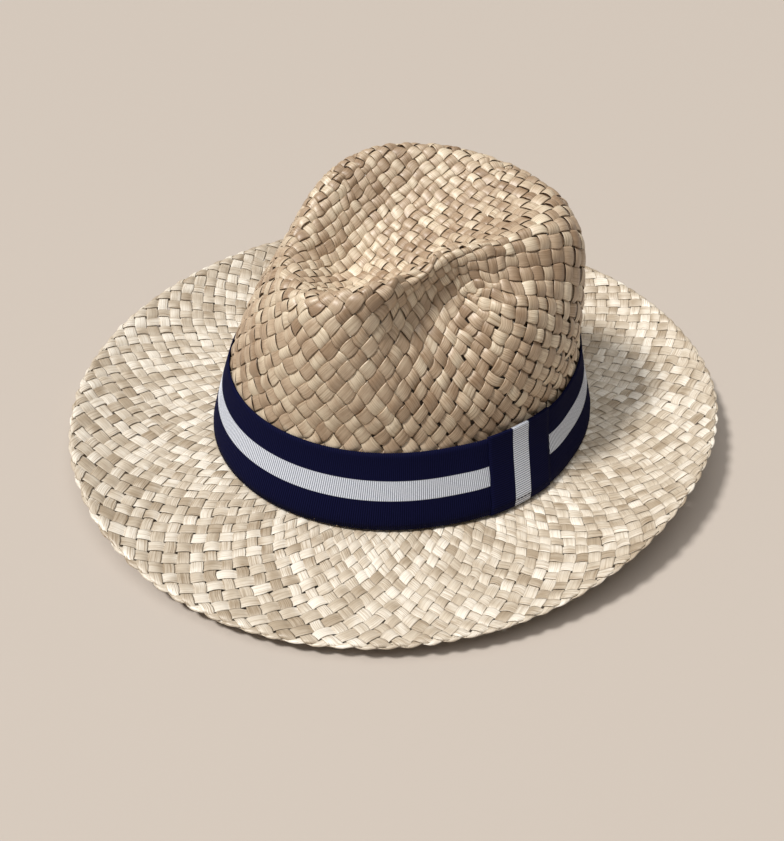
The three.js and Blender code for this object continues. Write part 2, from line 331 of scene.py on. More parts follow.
lattice = bmesh.new()
knots = [lattice.verts.new(point) for point in crown_points]
for strip in crown_strips:
    for (here, _), (there, _) in zip(strip, strip[1:]):
        lattice.edges.new((knots[here], knots[there]))
loose = [knots[k] for k, name in enumerate(crossing_names) if name[:2] != ("wall", CROWN_RINGS)]
for _ in range(EVEN_ROUNDS):
    bmesh.ops.smooth_vert(lattice, verts=loose, factor=0.5,
                          use_axis_x=True, use_axis_y=True, use_axis_z=True)
    for knot in loose:
        knot.co = crown_block.find_nearest(knot.co)[0]
crown_points = np.array([knot.co for knot in knots])
corner_names = [("wall", 0, side * MAT_HALF) for side in range(4)]
corner_points = crown_points[[crossing_number[name] for name in corner_names]]
to_corner = np.linalg.norm(crown_points[:, None] - corner_points, axis=2).min(axis=1)
strays = UNEVEN + CORNER_UNEVEN * np.exp(-(to_corner / CORNER_REACH) ** 2)
crown_points += rng.normal(0, 1, crown_points.shape) * strays[:, None]
crown_points = np.array([crown_block.find_nearest(point)[0] for point in crown_points])
lattice.free()
print("evened", len(loose), "crossings")

# %% [markdown]
# ## One strip of straw
# A strip is flat, a little domed across, and about half a millimetre thick. It could be a curve with a
# bevel, but a curve can't widen, dome and lean from one crossing to the next. So a strip is a row of
# sections, six points on top and two below. Its run goes smoothly through the crossings, with a few steps
# from each to the next.

# %% Sections and runs
PARTS = 5                # steps from one crossing to the next
TOP_ACROSS = (-1, -0.84, -0.3, 0.3, 0.84, 1)
UNDER_ACROSS = (0.8, -0.8)
SECTION = [(s, 0.5) for s in TOP_ACROSS] + [(s, -0.5) for s in UNDER_ACROSS]


def unit(vectors):
    """Vectors of length one."""
    return vectors / np.linalg.norm(vectors, axis=-1, keepdims=True)


def through(values, parts):
    """A smooth run through values, with parts steps from each one to the next."""
    padded = np.concatenate([[2 * values[0] - values[1]], values, [2 * values[-1] - values[-2]]])
    a, b, c, d = padded[:-3], padded[1:-2], padded[2:-1], padded[3:]
    steps = []
    for f in np.arange(parts) / parts:
        bent = (2 * a - 5 * b + 4 * c - d) * f ** 2 + (3 * b - a - 3 * c + d) * f ** 3
        steps.append(b + ((c - a) * f + bent) / 2)
    run = np.stack(steps, axis=1).reshape(-1, *values.shape[1:])
    return np.concatenate([run, values[-1:]])


def stray(amount, crossings):
    """A small random wander along a strip."""
    return through(rng.normal(0, amount, crossings), PARTS)


print("a strip's section has", len(SECTION), "corners")

# %% [markdown]
# ## A pile of strips
# Thousands of crossings would be slow to model one by one, so the sections of each strip go into arrays,
# and the strips are joined into one mesh at the end. The mesh also keeps a UV map in millimetres, along
# and across each strip, for the fibres, and a tone that makes one strip darker than the next.

# %% Pile of strips
FIBRE_SPREAD = 900       # mm over which the strips' places in the fibre pattern are spread


class StrawPile:
    """Strips that are joined into one mesh."""

    def __init__(self):
        self.points, self.faces, self.fibres, self.tones = [], [], [], []
        self.count = 0

    def add(self, sections, along, across, tone):
        """One closed strip from its sections, with its UV in millimetres and its tone."""
        rows, columns = sections.shape[:2]
        ids = self.count + np.arange(rows * columns).reshape(rows, columns)
        near, far = ids[:-1], ids[1:]
        quads = np.stack([near, far, np.roll(far, -1, axis=1), np.roll(near, -1, axis=1)], axis=2)
        self.faces += quads.reshape(-1, 4).tolist()
        self.faces += [ids[0].tolist(), ids[-1, ::-1].tolist()]
        offset = rng.uniform(0, FIBRE_SPREAD, 2)
        uv = np.stack([np.broadcast_to(along[:, None], across.shape) / MM, across / MM], axis=2) + offset
        self.points.append(sections.reshape(-1, 3))
        self.fibres.append(uv.reshape(-1, 2))
        self.tones.append(np.repeat(tone, columns))
        self.count += rows * columns

    def piece(self, name, material):
        """The joined strips as one object on the hat."""
        mesh = bpy.data.meshes.new(name)
        mesh.from_pydata(np.concatenate(self.points).tolist(), [], self.faces)
        corners = np.empty(len(mesh.loops), int)
        mesh.loops.foreach_get("vertex_index", corners)
        fibre = mesh.uv_layers.new(name="fibre")
        fibre.data.foreach_set("uv", np.concatenate(self.fibres)[corners].astype(np.float32).ravel())
        tone = mesh.attributes.new("tone", "FLOAT", "POINT")
        tone.data.foreach_set("value", np.concatenate(self.tones).astype(np.float32))
        mesh.shade_smooth()
        mesh.materials.append(material)
        straw = bpy.data.objects.new(name, mesh)
        bpy.context.scene.collection.objects.link(straw)
        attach(straw, BODY)
        mesh.calc_loop_triangles()
        print(name, "has", len(mesh.loop_triangles), "triangles")
        return straw


print("strips take their fibres from", FIBRE_SPREAD, "mm of pattern each way")

# %% [markdown]
# ## Over and under
# A strip rises over one neighbour and dives under the next. At each crossing the line of the other strip
# tells how far away the next strip is and how the surface bends, so a strip fills its room and can follow
# a ridge in both directions. Where it lies on top it spreads a little, and on its way down it narrows.

# %% Neighbours and normals
def neighbours(points, strips):
    """At each crossing of each strip: the step to the next strip beside it, and the bend on the way."""
    met = {}
    for s, strip in enumerate(strips):
        for t, (k, _) in enumerate(strip):
            met.setdefault(k, []).append((s, t))
    steps, bends = [], []
    for s, strip in enumerate(strips):
        step, bend = np.zeros((2, len(strip), 3))
        for t, (k, _) in enumerate(strip):
            other, u = next(place for place in met[k] if place != (s, t))
            line = strips[other]
            before = points[line[u - 1][0]] if u > 0 else None
            after = points[line[u + 1][0]] if u + 1 < len(line) else 2 * points[k] - before
            before = 2 * points[k] - after if before is None else before
            step[t] = (after - before) / 2
            bend[t] = (after + before) / 2 - points[k]
        steps.append(step)
        bends.append(bend)
    return steps, bends


def crossing_normals(points, strips, outward):
    """Direction out of the straw at each crossing."""
    runs = [[] for _ in points]
    for strip in strips:
        line = points[[k for k, _ in strip]]
        for (k, _), run in zip(strip, np.gradient(line, axis=0)):
            runs[k].append(run)
    normals = unit(np.array([np.cross(run[0], run[1]) for run in runs]))
    return normals * np.sign((normals * outward).sum(axis=1))[:, None]


crown_steps, _ = neighbours(crown_points, crown_strips)
crown_gaps = np.linalg.norm(np.concatenate(crown_steps), axis=1)
print("crown strips lie", round(float(np.median(crown_gaps)) / MM, 1), "mm apart")

# %% Plaiting
STRIP_THICK = 0.45 * MM
FLOOR_CLEAR = 0.05 * MM  # no strip goes lower than this
LEAST_SHARE = 0.72       # of the room between its neighbours that a strip fills
FULL_SHARE = 0.99        # leaves a hair between a strip and the next
WIDTH_RANGE = (0.80, 1.06)
WIDTH_STRAY = 0.08
SIDE_STRAY = 0.025
RISE_STRAY = 0.18
TONE_SPREAD = 0.22       # from strip to strip
TONE_STRAY = 0.24        # along a strip
WAVE_POWER = 0.65        # below 1, a strip stays up or down for longer
DOME_LEVEL = 0.7         # share of the dome halfway down
DOME_GAIN = 0.5          # added on top and taken away below

# swing is a strip's rise and dive, dome its roundness, waist how much it narrows on the way down and flare
# how much it spreads on top
Weave = namedtuple("Weave", "swing dome waist flare")


def plait(pile, points, normals, strips, chosen, wide, weave):
    """Adds the chosen strips, of one width, to a pile."""
    steps, bends = neighbours(points, strips)
    across = np.array([s for s, _ in SECTION])
    faces = np.array([face for _, face in SECTION])
    for s in chosen:
        order = [k for k, _ in strips[s]]
        over = np.array([1.0 if o else -1.0 for _, o in strips[s]])
        lines = through(points[order], PARTS)
        outs = unit(through(normals[order], PARTS))
        lefts = np.cross(outs, unit(np.gradient(lines, axis=0)))
        side = np.sign((steps[s] * lefts[::PARTS]).sum(axis=1))[:, None]
        beside = through(steps[s] * side, PARTS)
        bending = through(bends[s], PARTS)
        turns = np.arange(len(lines)) / PARTS
        wave = np.cos(np.pi * turns) * over[0]
        wave = np.sign(wave) * np.abs(wave) ** WAVE_POWER
        free = np.abs((beside * lefts).sum(axis=1))
        own_wide = wide * rng.uniform(*WIDTH_RANGE) * (1 + stray(WIDTH_STRAY, len(order)))
        fullness = FULL_SHARE + weave.flare * wave - weave.waist * (1 - np.abs(wave))
        share = np.clip(own_wide / free, LEAST_SHARE, 1.0) * fullness / 2
        q = across[None, :] * share[:, None] + stray(SIDE_STRAY, len(order))[:, None]
        rise = weave.swing * wave * (1 + stray(RISE_STRAY, len(order)))
        bulge = weave.dome * (DOME_LEVEL + DOME_GAIN * wave)
        lift = rise[:, None] + STRIP_THICK * faces + bulge[:, None] * (1 - across ** 2)
        sections = lines[:, None] + q[..., None] * beside[:, None] + (q ** 2)[..., None] * bending[:, None]
        sections = sections + lift[..., None] * outs[:, None]
        sections[..., 2] = np.maximum(sections[..., 2], FLOOR_CLEAR)
        along = np.insert(np.linalg.norm(np.diff(lines, axis=0), axis=1).cumsum(), 0, 0)
        tone = rng.normal(0, TONE_SPREAD) + stray(TONE_STRAY, len(order))
        pile.add(sections, along, q * free[:, None], tone)


def lay_strips(node, points, normals, strips, weave, sets):
    """One piece of joined strips for each set of strips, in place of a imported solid."""
    for name, chosen, wide, straw in sets:
        pile = StrawPile()
        plait(pile, points, normals, strips, chosen, wide, weave)
        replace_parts(pile.piece(name, straw), node)


print("strips are", round(STRIP_THICK / MM, 2), "mm thick")

# %% [markdown]
# ## What straw looks like
# Dried palm is pale, with fine fibres along the strip, a soft shine, and tones from cream to tan from one
# strip to the next. The crown and the brim share that structure and differ in colour, so the fibres are a
# node group with named sockets that each material fills with its own colours. The crown's colours are darker
# and browner than the brim's, partly from the straw itself and partly as painted shade for its walls. The
# group reads the strip's own UV map, because the fibres have to turn wherever the strip turns.

# %% Node helpers
def new_group(name, inputs, outputs):
    """An empty shader node group with its sockets, and its two end nodes."""
    group = bpy.data.node_groups.new(name, "ShaderNodeTree")
    for label, kind in inputs:
        group.interface.new_socket(label, in_out="INPUT", socket_type=kind)
    for label, kind in outputs:
        group.interface.new_socket(label, in_out="OUTPUT", socket_type=kind)
    return group, group.nodes.new("NodeGroupInput"), group.nodes.new("NodeGroupOutput")


def math_node(tree, operation, *values):
    """A Math node on values or sockets, and its output."""
    node = tree.nodes.new("ShaderNodeMath")
    node.operation = operation
    for slot, value in zip(node.inputs, values):
        if isinstance(value, (int, float)):
            slot.default_value = value
        else:
            tree.links.new(value, slot)
    return node.outputs[0]


def stretched_noise(tree, vector, stretch, detail):
    """Noise that is drawn out along a strip, and its value from 0 to 1."""
    scale = tree.nodes.new("ShaderNodeMapping")
    scale.inputs["Scale"].default_value = (*stretch, 1)
    tree.links.new(vector, scale.inputs["Vector"])
    noise = tree.nodes.new("ShaderNodeTexNoise")
    noise.inputs["Scale"].default_value = 1
    noise.inputs["Detail"].default_value = detail
    tree.links.new(scale.outputs["Vector"], noise.inputs["Vector"])
    return noise.outputs[0]


def mix_colour(tree, factor, first, second, blend="MIX"):
    """A colour mix of two colours or sockets, and its output."""
    node = tree.nodes.new("ShaderNodeMix")
    node.data_type = "RGBA"
    node.blend_type = blend
    slots = [node.inputs["Factor"], node.inputs[6], node.inputs[7]]
    if isinstance(factor, (int, float)):
        slots[0].default_value = factor
    else:
        tree.links.new(factor, slots[0])
    for slot, value in zip(slots[1:], (first, second)):
        if isinstance(value, tuple):
            slot.default_value = value
        else:
            tree.links.new(value, slot)
    return node.outputs[2]


def spread_between(tree, value, low, high):
    """A value stretched so that low becomes 0 and high becomes 1."""
    node = tree.nodes.new("ShaderNodeMapRange")
    node.inputs["From Min"].default_value = low
    node.inputs["From Max"].default_value = high
    tree.links.new(value, node.inputs["Value"])
    return node.outputs["Result"]


print("helpers for groups, sums, noise, mixes and ranges")

# %% Finishes
FINISH = [("Color", "NodeSocketColor"), ("Roughness", "NodeSocketFloat"), ("Height", "NodeSocketFloat")]


def put_out(group, made, *values):
    """Links a group's colour, roughness and height to its output sockets."""
    for (label, _), value in zip(FINISH, values):
        group.links.new(value, made.inputs[label])


def grouped_material(name, group, bump_strength, bump_high, shine):
    """A material whose colour, roughness and bump come from a node group, and the group's node."""
    material = bpy.data.materials.new(name)
    material.use_nodes = True
    tree = material.node_tree
    surface = tree.nodes["Principled BSDF"]
    surface.inputs["Specular IOR Level"].default_value = shine
    finish = tree.nodes.new("ShaderNodeGroup")
    finish.node_tree = group
    bump = tree.nodes.new("ShaderNodeBump")
    bump.inputs["Strength"].default_value = bump_strength
    bump.inputs["Distance"].default_value = bump_high
    tree.links.new(finish.outputs["Color"], surface.inputs["Base Color"])
    tree.links.new(finish.outputs["Roughness"], surface.inputs["Roughness"])
    tree.links.new(finish.outputs["Height"], bump.inputs["Height"])
    tree.links.new(bump.outputs["Normal"], surface.inputs["Normal"])
    return material, finish


print("a finish gives", ", ".join(label for label, _ in FINISH))

# %% The straw fibre group
FIBRE_STRETCH = (0.05, 2.4)    # noise along and across a strip, for each millimetre
GROOVE_STRETCH = (0.025, 1.05)
PATCH_STRETCH = (0.10, 0.16)
FLECK_STRETCH = (0.22, 2.2)
FIBRE_RANGE = (0.56, 0.30)     # noise values that show nothing and everything
GROOVE_RANGE = (0.42, 0.24)
PATCH_RANGE = (0.1, 0.9)
FLECK_RANGE = (0.70, 0.80)
PALE_TO_MIDDLE = (0.0, 0.5)    # tones
MIDDLE_TO_TAN = (0.5, 1.0)
FIBRE_SHADE = (0.56, 0.48, 0.39, 1)
FLECK_SHADE = (0.62, 0.48, 0.34, 1)
STRAW_ROUGH = 0.32
FIBRE_ROUGH = 0.25
GROOVE_DEPTH = 1.5       # against the fine fibres


def straw_fibre_group():
    """Colour, roughness and height of palm straw from its tone and its place on the strip."""
    group, given, made = new_group(
        "straw_fibre",
        [("Strip", "NodeSocketVector"), ("Tone", "NodeSocketFloat"), ("Pale", "NodeSocketColor"),
         ("Middle", "NodeSocketColor"), ("Tan", "NodeSocketColor"), ("Grain", "NodeSocketFloat")],
        FINISH)
    strip = given.outputs["Strip"]
    grain = given.outputs["Grain"]
    fibres = stretched_noise(group, strip, FIBRE_STRETCH, 3)
    grooves = stretched_noise(group, strip, GROOVE_STRETCH, 1)
    patches = stretched_noise(group, strip, PATCH_STRETCH, 2)
    flecks = stretched_noise(group, strip, FLECK_STRETCH, 1)
    toned = math_node(group, "ADD", given.outputs["Tone"], spread_between(group, patches, *PATCH_RANGE))
    colour = given.outputs["Pale"]
    for label, tones in (("Middle", PALE_TO_MIDDLE), ("Tan", MIDDLE_TO_TAN)):
        colour = mix_colour(group, spread_between(group, toned, *tones), colour, given.outputs[label])
    dark = mix_colour(group, 1.0, colour, FIBRE_SHADE, "MULTIPLY")
    for lines, shown_range in ((fibres, FIBRE_RANGE), (grooves, GROOVE_RANGE)):
        shown = math_node(group, "MULTIPLY", spread_between(group, lines, *shown_range), grain)
        colour = mix_colour(group, shown, colour, dark)
    brown = mix_colour(group, 1.0, colour, FLECK_SHADE, "MULTIPLY")
    colour = mix_colour(group, spread_between(group, flecks, *FLECK_RANGE), colour, brown)
    rough = math_node(group, "MULTIPLY_ADD", fibres, FIBRE_ROUGH, STRAW_ROUGH)
    height = math_node(group, "MULTIPLY_ADD", grooves, GROOVE_DEPTH, fibres)
    put_out(group, made, colour, rough, height)
    return group


straw_fibre = straw_fibre_group()
print(straw_fibre.name, "has", len(straw_fibre.nodes), "nodes")

# %% Straw materials
# the crown's three tones are darker than the brim's: partly the straw's own tone, partly painted shade
CROWN_TONES_AND_SHADE = ((0.80, 0.685, 0.525), (0.585, 0.45, 0.32), (0.385, 0.265, 0.17))
BRIM_TONES = ((0.92, 0.865, 0.775), (0.69, 0.61, 0.50), (0.47, 0.385, 0.285))
WIDE_GRAIN = 0.6         # wide strips are smoother than narrow ones
NARROW_GRAIN = 1.0
STRAW_BUMP = 0.45
STRAW_BUMP_HIGH = 0.15 * MM
STRAW_SHINE = 0.9


def straw_material(name, tones, grain):
    """Palm straw in three tones, read from the strip's UV map and its tone."""
    material, fibre = grouped_material(name, straw_fibre, STRAW_BUMP, STRAW_BUMP_HIGH, STRAW_SHINE)
    tree = material.node_tree
    for label, colour in zip(("Pale", "Middle", "Tan"), tones):
        fibre.inputs[label].default_value = (*colour, 1)
    fibre.inputs["Grain"].default_value = grain
    strip = tree.nodes.new("ShaderNodeUVMap")
    strip.uv_map = "fibre"
    tone = tree.nodes.new("ShaderNodeAttribute")
    tone.attribute_name = "tone"
    tree.links.new(strip.outputs["UV"], fibre.inputs["Strip"])
    tree.links.new(tone.outputs["Fac"], fibre.inputs["Tone"])
    return material


# the crown's straw carries painted shade in its darker tones
crown_wide_straw = straw_material("crown_wide_straw", CROWN_TONES_AND_SHADE, WIDE_GRAIN)
crown_narrow_straw = straw_material("crown_narrow_straw", CROWN_TONES_AND_SHADE, NARROW_GRAIN)
brim_wide_straw = straw_material("brim_wide_straw", BRIM_TONES, WIDE_GRAIN)
brim_narrow_straw = straw_material("brim_narrow_straw", BRIM_TONES, NARROW_GRAIN)
print("straw in", len(CROWN_TONES_AND_SHADE), "tones on the crown and", len(BRIM_TONES), "on the brim")

# %% [markdown]
# ## The crown's weave
# The real crown is plaited from wide and narrow strips: each wide strip crosses narrow ones only. The two
# sets become two pieces, so that neither mesh grows too heavy. They lie on the middle layer of the packed
# straw, which they replace.

# %% Crown strips
STRAW_HALF = 1.1 * MM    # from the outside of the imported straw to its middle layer
CROWN_WIDE_STRIP = 9.0 * MM
CROWN_NARROW_STRIP = 5.7 * MM
CROWN_WEAVE = Weave(swing=0.84 * MM, dome=0.30 * MM, waist=0.08, flare=0.07)

from_heart = crown_points - np.array(HEART)
crown_outs = crossing_normals(crown_points, crown_strips, from_heart)
crown_layer = crown_points - crown_outs * STRAW_HALF
half = len(crown_strips) // 2
crown_sets = (("crown_strips_wide", range(half), CROWN_WIDE_STRIP, crown_wide_straw),
              ("crown_strips_narrow", range(half, 2 * half), CROWN_NARROW_STRIP, crown_narrow_straw))
lay_strips("crown", crown_layer, crown_outs, crown_strips, CROWN_WEAVE, crown_sets)

# %% [markdown]
# ## The brim as a block
# The brim spreads from the foot of the crown to an edge that turns up. Rays straight down and straight up
# find its two faces, and the middle between them is the layer that the strips lie in. Where the brim
# starts and ends at each turn is found by halving the gap between a reach that is over straw and one that
# isn't.

# %% Points on the brim
BRIM_ROWS = 40
BRIM_SURE_REACH = 0.122  # over straw at every turn
BRIM_OFF_REACH = (0.06, 0.20)  # inside the head opening, and past the edge
OUTSIDE = 0.2            # rays start this far away, outside the hat
HALVINGS = 14
BRIM_SMOOTHING = 2
EDGE_MARGIN = 0.9 * MM
ROOT_TUCK = 2.8 * MM     # how far the strips run on under the ribbon

brim_block = search_tree("brim", lambda centre, normal: True)


def brim_point(turn, reach):
    """Middle of the straw at a turn and a reach from the crown's middle, or None off the brim."""
    over = MIDDLE + heading(turn) * reach
    top = brim_block.ray_cast(over + UP * OUTSIDE, -UP)[0]
    bottom = brim_block.ray_cast(over - UP * OUTSIDE, UP)[0]
    return None if top is None or bottom is None else (top + bottom) / 2


def last_hit(probe, sure, off):
    """The last value at which a probe still meets the solid, on the way from a sure one to one off it."""
    for _ in range(HALVINGS):
        middle = (sure + off) / 2
        if probe(middle) is None:
            off = middle
        else:
            sure = middle
    return sure


def smooth_round(table, rounds):
    """A table whose rows are averaged with the rows beside them, some times over."""
    for _ in range(rounds):
        table = (np.roll(table, 1, axis=0) + 2 * table + np.roll(table, -1, axis=0)) / 4
    return table


def brim_row(turn):
    """Points from the head opening to the edge of the brim, at one turn."""
    def probe(reach):
        return brim_point(turn, reach)

    inner = last_hit(probe, BRIM_SURE_REACH, BRIM_OFF_REACH[0]) + STRAW_HALF
    outer = last_hit(probe, BRIM_SURE_REACH, BRIM_OFF_REACH[1]) - EDGE_MARGIN
    row = [brim_point(turn, reach) for reach in np.linspace(inner, outer, BRIM_ROWS)]
    row[0] = row[0] - heading(turn) * ROOT_TUCK
    return row


brim_table, brim_runs = even_rows(np.array([brim_row(turn) for turn in table_turns]), BRIM_ROWS)
brim_table = smooth_round(brim_table, BRIM_SMOOTHING)
print("brim from", round(brim_runs.min() / MM, 1), "to", round(brim_runs.max() / MM, 1), "mm wide")

# %% [markdown]
# ## The brim's weave and its folded edge
# Where the brim spreads, the plaiter lays in a second strip beside each one, so there are twice as many
# columns as on the crown. All strips lean right or left, so the crossings are a plain table of rings and
# columns, and each ring is turned by half a column. One ring lies on the edge itself. The next two lie
# underneath, because the real weave is turned under there and pressed flat, which gives the edge its soft
# bumps. The rings near the edge part into an upper and a lower layer, and those at the root lie a little
# lower, to slip under the ribbon.

# %% Brim strips
BRIM_ROUND = 2 * CROWN_ROUND
EDGE_RING = 17
UNDER_RINGS = 2
BRIM_WIDE_STRIP = 7.0 * MM
BRIM_NARROW_STRIP = 5.7 * MM
BRIM_WEAVE = Weave(swing=0.46 * MM, dome=0.22 * MM, waist=0.05, flare=0.04)
ROOT_LIFT = {0: -0.4 * MM, 1: -0.35 * MM, 2: -0.1 * MM}
EDGE_LIFT = {-2: 0.25 * MM, -1: 0.6 * MM, 1: -0.95 * MM, 2: -1.35 * MM}
LAYER_LIFT = ROOT_LIFT | {EDGE_RING + step: lift for step, lift in EDGE_LIFT.items()}
BRIM_UNEVEN = 0.4 * MM
SWAY = 0.8               # degrees that whole columns wander from their even place
SWAY_WAVES = ((3, 6), (7, -4))        # waves round the brim, and the rings that shift them by a radian
EDGE_STEPS = (0, 1, 2, 3, EDGE_RING)  # rings from the edge
EDGE_SHARES = (0, 0.034, 0.086, 0.143, 1)  # of the way from the edge to the head opening


def brim_crossing(ring, column):
    """Number of a crossing of the brim."""
    return ring * BRIM_ROUND + column % BRIM_ROUND


ring_count = EDGE_RING + UNDER_RINGS + 1
brim_rings, brim_columns = np.divmod(np.arange(ring_count * BRIM_ROUND), BRIM_ROUND)
brim_turns = 360 * (brim_columns + brim_rings / 2) / BRIM_ROUND
from_edge = np.abs(brim_rings - EDGE_RING)
brim_shares = 1 - np.interp(from_edge, EDGE_STEPS, EDGE_SHARES)
wander = sum(np.sin(np.radians(waves * brim_turns) + brim_rings / rings) for waves, rings in SWAY_WAVES)
brim_layer = look_up(brim_table, brim_turns + SWAY * wander * brim_rings / EDGE_RING, brim_shares)
brim_layer[:, 2] += [LAYER_LIFT.get(ring, 0) for ring in brim_rings]
loose = (brim_rings > 0) & (brim_rings != EDGE_RING)
brim_layer[loose, :2] += rng.normal(0, BRIM_UNEVEN, (loose.sum(), 2))

outward = np.zeros_like(brim_layer)
outward[:, 2] = np.sign(EDGE_RING - brim_rings)
outward[brim_rings == EDGE_RING] = [heading(turn) for turn in brim_turns[brim_rings == EDGE_RING]]
rings = range(ring_count)
leaning_right = [[(brim_crossing(r, c), r % 2 == 0) for r in rings] for c in range(BRIM_ROUND)]
leaning_left = [[(brim_crossing(r, c - r), r % 2 == 1) for r in rings] for c in range(BRIM_ROUND)]
brim_strips = leaning_right + leaning_left
brim_outs = crossing_normals(brim_layer, brim_strips, outward)
brim_sets = (("brim_strips_right", range(BRIM_ROUND), BRIM_NARROW_STRIP, brim_narrow_straw),
             ("brim_strips_left", range(BRIM_ROUND, 2 * BRIM_ROUND), BRIM_WIDE_STRIP, brim_wide_straw))
lay_strips("brim", brim_layer, brim_outs, brim_strips, BRIM_WEAVE, brim_sets)

# %% [markdown]
# ## Ribbed ribbon
# The ribbon is grosgrain: thick threads across the ribbon make ribs, and the edges show them as tiny
# steps. It is navy with one white stripe along the middle, and the troughs between the ribs are darkened
# as painted shade. The colour is read across the ribbon from its UV map, so the same group dresses the band
# round the crown and the tab folded round the band.

# %% The grosgrain group
STRIPE_BLUR = 0.003      # of the ribbon's width, to either side of the stripe's edge
RIB_RANGE = (0.60, 0.0)  # rib heights that are unshaded and fully shaded
# painted shade: the troughs between the ribs are darkened with this colour
RIB_SHADE = (0.20, 0.22, 0.28, 1)
THREAD_RANGE = (0.60, 0.35)
THREAD_SHADE = (0.80, 0.82, 0.86, 1)
THREAD_STRETCH = (0.9, 150)  # noise for each rib, and across the whole ribbon
CLOTH_ROUGH = 0.62
THREAD_ROUGH = 0.2
THREAD_RELIEF = 0.25     # against a rib's height


def grosgrain_group():
    """Colour, roughness and height of a ribbed ribbon. Across runs 0 to 1, Along counts ribs."""
    group, given, made = new_group(
        "grosgrain",
        [("Across", "NodeSocketFloat"), ("Along", "NodeSocketFloat"), ("Stripe", "NodeSocketFloat"),
         ("Navy", "NodeSocketColor"), ("White", "NodeSocketColor")],
        FINISH)
    off_middle = math_node(group, "SUBTRACT", given.outputs["Across"], 0.5)
    off_middle = math_node(group, "ABSOLUTE", off_middle)
    half_stripe = math_node(group, "MULTIPLY", given.outputs["Stripe"], 0.5)
    inside = math_node(group, "SUBTRACT", half_stripe, off_middle)
    stripe = spread_between(group, inside, -STRIPE_BLUR, STRIPE_BLUR)
    phase = math_node(group, "MULTIPLY", given.outputs["Along"], 2 * math.pi)
    rib = math_node(group, "MULTIPLY_ADD", math_node(group, "COSINE", phase), 0.5, 0.5)
    place = group.nodes.new("ShaderNodeCombineXYZ")
    group.links.new(given.outputs["Along"], place.inputs["X"])
    group.links.new(given.outputs["Across"], place.inputs["Y"])
    thread = stretched_noise(group, place.outputs["Vector"], THREAD_STRETCH, 2)
    colour = mix_colour(group, stripe, given.outputs["Navy"], given.outputs["White"])
    # painted shade in the troughs between the ribs
    shade = mix_colour(group, 1.0, colour, RIB_SHADE, "MULTIPLY")
    colour = mix_colour(group, spread_between(group, rib, *RIB_RANGE), colour, shade)
    worn = mix_colour(group, 1.0, colour, THREAD_SHADE, "MULTIPLY")
    colour = mix_colour(group, spread_between(group, thread, *THREAD_RANGE), colour, worn)
    rough = math_node(group, "MULTIPLY_ADD", thread, THREAD_ROUGH, CLOTH_ROUGH)
    height = math_node(group, "MULTIPLY_ADD", thread, THREAD_RELIEF, rib)
    put_out(group, made, colour, rough, height)
    return group


grosgrain = grosgrain_group()
print(grosgrain.name, "has", len(grosgrain.nodes), "nodes")

# %% Ribbon material
RIBBON_WIDE = 38.4 * MM
STRIPE_WIDE = 9.8 * MM
NAVY = (0.0072, 0.0082, 0.0420, 1)
STRIPE_WHITE = (0.85, 0.89, 0.98, 1)
CLOTH_BUMP = 0.5
CLOTH_BUMP_HIGH = 0.12 * MM
CLOTH_SHINE = 0.04


def ribbon_material(name, ribs):
    """Grosgrain whose UV map runs along the ribbon on X and across it on Y."""
    material, cloth = grouped_material(name, grosgrain, CLOTH_BUMP, CLOTH_BUMP_HIGH, CLOTH_SHINE)
    tree = material.node_tree
    cloth.inputs["Stripe"].default_value = STRIPE_WIDE / RIBBON_WIDE
    cloth.inputs["Navy"].default_value = NAVY
    cloth.inputs["White"].default_value = STRIPE_WHITE
    place = tree.nodes.new("ShaderNodeUVMap")
    place.uv_map = "UVMap"
    axes = tree.nodes.new("ShaderNodeSeparateXYZ")
    tree.links.new(place.outputs["UV"], axes.inputs["Vector"])
    tree.links.new(axes.outputs["Y"], cloth.inputs["Across"])
    tree.links.new(math_node(tree, "MULTIPLY", axes.outputs["X"], ribs), cloth.inputs["Along"])
    return material


print("the stripe takes", round(100 * STRIPE_WIDE / RIBBON_WIDE), "percent of the ribbon's width")

# %% [markdown]
# ## The band round the crown
# The band lies on the wall of the crown from its foot up. create_grid makes a long flat strip with a UV
# map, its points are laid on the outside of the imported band, its two ends are merged, and solidify gives it
# a thickness. Two columns go to each rib, so the ribs are real relief and the edges show their steps.

# %% Shape of the band
BAND_ROWS = 14
BAND_MARGIN = 0.15 * MM
BAND_SMOOTHING = 3
BAND_SINK = 0.9 * MM     # how far the lower edge is pressed into the straw of the brim
TURN_STEP = 0.6          # degrees to either side, to find the direction round the band
RISE_STEP = 0.05         # of the band's height, to find the direction up it

band_block = search_tree("ribbon_band", lambda centre, normal: True)
band_low, band_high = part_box("ribbon_band")
BAND_SURE_HEIGHT = (band_low.z + band_high.z) / 2


def band_point(turn, height):
    """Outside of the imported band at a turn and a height."""
    level = heading(turn)
    far = MIDDLE + level * OUTSIDE + UP * height
    return band_block.ray_cast(far, -level, OUTSIDE)[0]


def band_row(turn):
    """Points from the lower to the upper edge of the band, at one turn."""
    def probe(height):
        return band_point(turn, height)

    foot = last_hit(probe, BAND_SURE_HEIGHT, 0) + BAND_MARGIN
    top = last_hit(probe, BAND_SURE_HEIGHT, 2 * BAND_SURE_HEIGHT) - BAND_MARGIN
    return [band_point(turn, height) for height in np.linspace(foot, top, BAND_ROWS)]


def band_frame(turn, share):
    """Point on the band's outside, with the directions up the band and out of it."""
    here = look_up(band_shape, turn, share)
    ahead = look_up(band_shape, turn + TURN_STEP, share) - look_up(band_shape, turn - TURN_STEP, share)
    rise = look_up(band_shape, turn, share + RISE_STEP) - look_up(band_shape, turn, share - RISE_STEP)
    rise = unit(rise)
    return here, rise, unit(np.cross(unit(ahead), rise))


band_shape = smooth_round(np.array([band_row(turn) for turn in table_turns]), BAND_SMOOTHING)
band_shape[:, 0, 2] -= BAND_SINK
band_middle = band_shape[:, BAND_ROWS // 2]
band_round = float(np.linalg.norm(band_middle - np.roll(band_middle, 1, axis=0), axis=1).sum())
print("band is", round(band_round / MM), "mm round")

